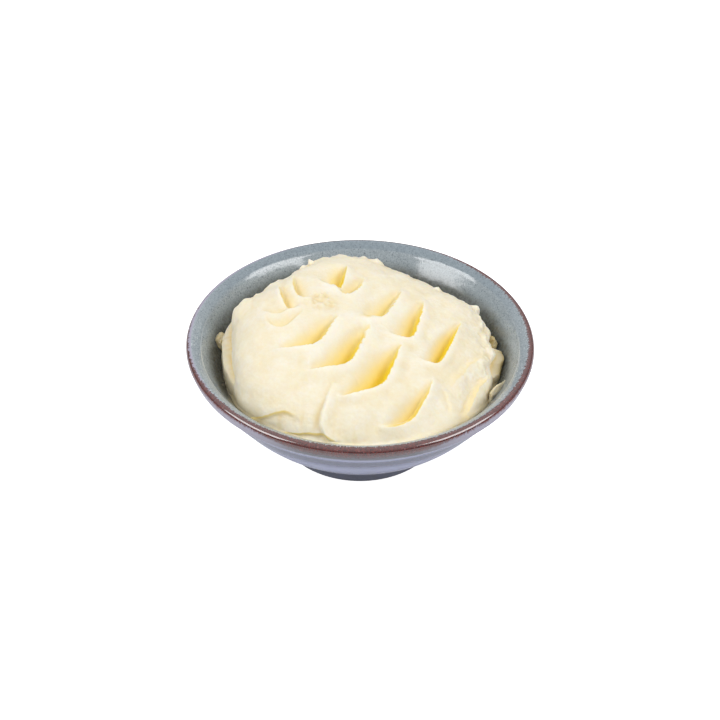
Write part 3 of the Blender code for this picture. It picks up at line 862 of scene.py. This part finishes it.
def glaze_material(groups):
    material = bpy.data.materials.new("speckled_glaze")
    material.use_nodes = True
    tree = material.node_tree
    shader = tree.nodes["Principled BSDF"]
    place = place_in_millimetres(tree)
    run = named_value(tree, "section_run")
    broad = use_group(tree, groups["mottle"], {"Place": place, "Size": 14.0, "Softness": 0.3})
    cloud = use_group(tree, groups["mottle"], {"Place": place, "Size": 1.7, "Softness": 0.16})
    dust = use_group(tree, groups["mottle"], {"Place": place, "Size": 0.6, "Softness": 0.2})
    specks = use_group(tree, groups["specks"], {"Place": place, "Size": 1.2, "Cover": 0.2})
    fine = use_group(tree, groups["specks"], {"Place": place, "Size": 0.75, "Cover": 0.55})
    pale = use_group(tree, groups["specks"], {"Place": place, "Size": 0.9, "Cover": 0.25})

    wall = blend(tree, step(tree, run, -24.0, -5.0), shade(GLAZE_WALL), shade(GLAZE_LIP))
    parts = add_node(tree, "ShaderNodeSeparateXYZ", {0: place})
    # Painted shadow of the mash on the deep part of the inside wall, a little stronger on the left
    leftward = step(tree, parts.outputs["X"], 40.0, -40.0, 0.95, 1.0)
    mash_shadow = calculate(tree, "MULTIPLY", step(tree, run, -7.0, -14.0), leftward)
    wall = blend(tree, mash_shadow, wall, shade(GLAZE_MASH_SHADOW))
    wall = blend(tree, calculate(tree, "MULTIPLY", broad, 0.12), wall, shade(GLAZE_PALE))
    wall = blend(tree, calculate(tree, "MULTIPLY", cloud, 0.18), wall, shade(GLAZE_PALE))
    near_rim = step(tree, run, -24.0, -4.0, 0.45, 1.0)
    darker = calculate(tree, "MULTIPLY", calculate(tree, "MULTIPLY", dust, 0.42), near_rim)
    wall = blend(tree, darker, wall, shade(GLAZE_SPECK))
    marked = calculate(tree, "MAXIMUM", calculate(tree, "MULTIPLY", specks, 0.55), calculate(tree, "MULTIPLY", fine, 0.5))
    wall = blend(tree, calculate(tree, "MULTIPLY", marked, near_rim), wall, shade(GLAZE_SPECK))
    # The lip is painted darker towards the back as shade
    lip = blend(tree, step(tree, parts.outputs["Y"], 5.0, 45.0), shade(GLAZE_LIP), shade(GLAZE_LIP_BACK_SHADE))
    lip = blend(tree, calculate(tree, "MULTIPLY", cloud, 0.2), lip, shade(GLAZE_PALE))
    lip = blend(tree, calculate(tree, "MULTIPLY", dust, 0.35), lip, shade(GLAZE_SPECK))
    lip = blend(tree, calculate(tree, "MULTIPLY", fine, 0.5), lip, shade(GLAZE_SPECK))
    forward = step(tree, parts.outputs["Y"], 30.0, -10.0)
    lip = blend(tree, calculate(tree, "MULTIPLY", pale, calculate(tree, "MULTIPLY", forward, 0.6)), lip, shade(GLAZE_FLECK))
    inside = blend(tree, step(tree, run, -4.6, -3.4), wall, lip)
    # A pale line at the lip's inner edge towards the front: thinner glaze, and partly a painted highlight
    lip_line = calculate(tree, "MULTIPLY", step(tree, run, -5.3, -4.7), step(tree, run, -4.2, -4.7))
    lip_line = calculate(tree, "MULTIPLY", lip_line, calculate(tree, "MULTIPLY", forward, 0.4))
    inside = blend(tree, lip_line, inside, shade(GLAZE_FLECK))

    # Painted shade in a ring round the outside, between the lighter rings
    shade_band = calculate(tree, "MULTIPLY", step(tree, run, 9.5, 14.0), step(tree, run, 17.0, 27.0, 1.0, 0.0))
    outside = blend(tree, calculate(tree, "MULTIPLY", broad, 0.2), shade(GLAZE_OUTSIDE), shade(GLAZE_PALE))
    outside = blend(tree, shade_band, outside, shade(GLAZE_BAND_SHADE))
    # Darker on the foot, partly its own colour and partly painted shade beneath the bowl
    outside = blend(tree, step(tree, run, 52.0, 56.0), outside, shade(GLAZE_FOOT_AND_SHADE))
    # The lip's outer face is painted darker at the front as shade, lighter at the sides
    sideways = step(tree, calculate(tree, "ABSOLUTE", parts.outputs["X"]), 18.0, 42.0)
    face = blend(tree, sideways, shade(GLAZE_FACE_SHADE), shade(GLAZE_FACE_SIDE))
    outside = blend(tree, step(tree, run, 7.6, 6.6), outside, face)
    colour = blend(tree, step(tree, run, -0.2, 0.2), inside, outside)

    flat = add_node(tree, "ShaderNodeVectorMath", {0: place, 1: (1.0, 1.0, 0.0)}, operation="MULTIPLY")
    outward = add_node(tree, "ShaderNodeVectorMath", {0: flat.outputs[0]}, operation="NORMALIZE")
    spun = add_node(tree, "ShaderNodeVectorMath", {0: outward.outputs[0], "Scale": BOWL_RADIUS}, operation="SCALE")
    lift = add_node(tree, "ShaderNodeCombineXYZ", {"Z": calculate(tree, "MULTIPLY", run, 0.25)})
    stroke_place = add_node(tree, "ShaderNodeVectorMath", {0: spun.outputs[0], 1: lift.outputs[0]}, operation="ADD")
    stroke = use_group(tree, groups["mottle"], {"Place": stroke_place.outputs[0], "Size": 1.1, "Softness": 0.3})
    ragged = calculate(tree, "MULTIPLY_ADD", stroke, 0.9, calculate(tree, "MULTIPLY_ADD", dust, 0.8, -0.85))
    toward = add_node(tree, "ShaderNodeVectorMath", {0: place, 1: (-0.0103, 0.0103, 0.0)}, operation="DOT_PRODUCT")
    start = step(tree, toward.outputs["Value"], -0.1, 0.8, -0.6, 1.1)
    end = calculate(tree, "MULTIPLY_ADD", sideways, -2.2, 5.0)
    rim_inputs = {"Run": run, "Ragged": ragged, "Start": start, "End": end}
    brown_mask = use_group(tree, groups["rim"], rim_inputs)
    brown = blend(tree, calculate(tree, "MAXIMUM", dust, calculate(tree, "MULTIPLY", stroke, 0.7)), shade(GLAZE_BROWN), shade(GLAZE_BROWN_DARK))
    brown = blend(tree, calculate(tree, "MULTIPLY", pale, 0.35), brown, shade(GLAZE_BROWN_PALE))
    colour = blend(tree, brown_mask, colour, brown)
    tree.links.new(colour, shader.inputs["Base Color"])

    waves = add_node(tree, "ShaderNodeTexNoise", {"Vector": place, "Scale": 0.12, "Detail": 2.0})
    height = calculate(tree, "MULTIPLY_ADD", waves.outputs[0], 0.12, calculate(tree, "MULTIPLY", dust, 0.004))
    bump = add_node(tree, "ShaderNodeBump", {"Height": height, "Distance": 0.001, "Strength": 1.0})
    tree.links.new(bump.outputs[0], shader.inputs["Normal"])
    tree.links.new(calculate(tree, "MULTIPLY_ADD", brown_mask, 0.03, 0.1), shader.inputs["Roughness"])
    shader.inputs["Specular IOR Level"].default_value = 0.9
    tree.links.new(calculate(tree, "MULTIPLY", brown_mask, 0.6), shader.inputs["Coat Weight"])
    shader.inputs["Coat Roughness"].default_value = 0.06
    shader.inputs["Coat IOR"].default_value = 1.9
    return material


# ----------------------------------------------------------------------------------------------
# Pieces
# ----------------------------------------------------------------------------------------------

groups = {
    "specks": make_specks_group(),
    "mottle": make_mottle_group(),
    "rim": make_rim_group(),
    "tone": make_mash_tone_group(),
    "grain": make_grain_group(),
}

section, crown_place = bowl_profile()
bowl = turned_mesh("bowl_turned", section, BOWL_STEPS)
add_values(bowl, "section_run", section_runs(section, crown_place, BOWL_STEPS))
bowl.data.materials.append(glaze_material(groups))
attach(bowl, "root")
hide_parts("bowl")

heap = heap_mesh()
heap.data.materials.append(mash_material(groups))
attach(heap, "root")
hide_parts("mashed_potato")

crumbs = crumbs_mesh()
crumbs.data.materials.append(heap.data.materials[0])
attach(crumbs, "root")

# ----------------------------------------------------------------------------------------------
# Floor, light and camera
# ----------------------------------------------------------------------------------------------


def make_floor():
    half = 3.0
    mesh = bpy.data.meshes.new("studio_floor")
    mesh.from_pydata([(-half, -half, 0), (half, -half, 0), (half, half, 0), (-half, half, 0)], [], [(0, 1, 2, 3)])
    thing = bpy.data.objects.new("studio_floor", mesh)
    bpy.context.scene.collection.objects.link(thing)
    material = bpy.data.materials.new("pale_floor")
    material.use_nodes = True
    tree = material.node_tree
    shader = tree.nodes["Principled BSDF"]
    cloud = add_node(tree, "ShaderNodeTexNoise", {"Scale": 3.0})
    tree.links.new(blend(tree, cloud.outputs[0], (0.82, 0.82, 0.84, 1), (0.84, 0.84, 0.85, 1)), shader.inputs["Base Color"])
    shader.inputs["Roughness"].default_value = 0.8
    shader.inputs["Specular IOR Level"].default_value = 0.0
    shader.inputs["Emission Color"].default_value = (1, 1, 1, 1)
    path = add_node(tree, "ShaderNodeLightPath", {})
    seen = calculate(tree, "MULTIPLY", path.outputs["Is Camera Ray"], 0.9)
    tree.links.new(seen, shader.inputs["Emission Strength"])
    mesh.materials.append(material)


def make_softbox(name, azimuth, elevation, distance, size, power):
    """An area light that faces the dish; azimuth 0 is in front, positive to the right."""
    light = bpy.data.lights.new(name, "AREA")
    light.shape = "RECTANGLE"
    light.size, light.size_y = size
    light.energy = power
    a, e = math.radians(azimuth), math.radians(elevation)
    place = distance * Vector((math.sin(a) * math.cos(e), -math.cos(a) * math.cos(e), math.sin(e)))
    thing = bpy.data.objects.new(name, light)
    thing.location = place
    thing.rotation_euler = place.to_track_quat("Z", "Y").to_euler()
    bpy.context.scene.collection.objects.link(thing)


def make_camera():
    camera = bpy.data.cameras.new("view")
    camera.lens = 91.417
    camera.sensor_width = 36.0
    thing = bpy.data.objects.new("view", camera)
    aim = Vector((0.0, 0.0, 0.0366))
    elevation = math.radians(38.233)
    distance = 0.7426
    back = Vector((0.0, -math.cos(elevation), math.sin(elevation)))
    thing.location = aim + distance * back
    roll = Matrix.Rotation(math.radians(0.804), 4, "Z")
    thing.matrix_world = Matrix.Translation(thing.location) @ back.to_track_quat("Z", "Y").to_matrix().to_4x4() @ roll
    bpy.context.scene.collection.objects.link(thing)
    bpy.context.scene.camera = thing


def make_world():
    """A pale surround, dimmer towards the horizon."""
    world = bpy.data.worlds.new("studio")
    world.use_nodes = True
    tree = world.node_tree
    coordinates = add_node(tree, "ShaderNodeTexCoord", {})
    parts = add_node(tree, "ShaderNodeSeparateXYZ", {0: coordinates.outputs["Generated"]})
    back = tree.nodes["Background"]
    back.inputs["Color"].default_value = (1, 1, 1, 1)
    behind = calculate(tree, "MULTIPLY_ADD", parts.outputs["Y"], 0.3, 1.0)
    upward = step(tree, parts.outputs["Z"], 0.0, 0.9, 0.15, 0.79)
    tree.links.new(calculate(tree, "MULTIPLY", upward, behind), back.inputs["Strength"])
    bpy.context.scene.world = world


make_floor()
make_softbox("softbox_left", -70, 41, 1.2, (0.8, 0.5), 5.5)
make_softbox("softbox_right", 70, 41, 1.2, (0.8, 0.5), 5.5)
make_world()
make_camera()
bpy.context.scene.view_settings.view_transform = "Standard"
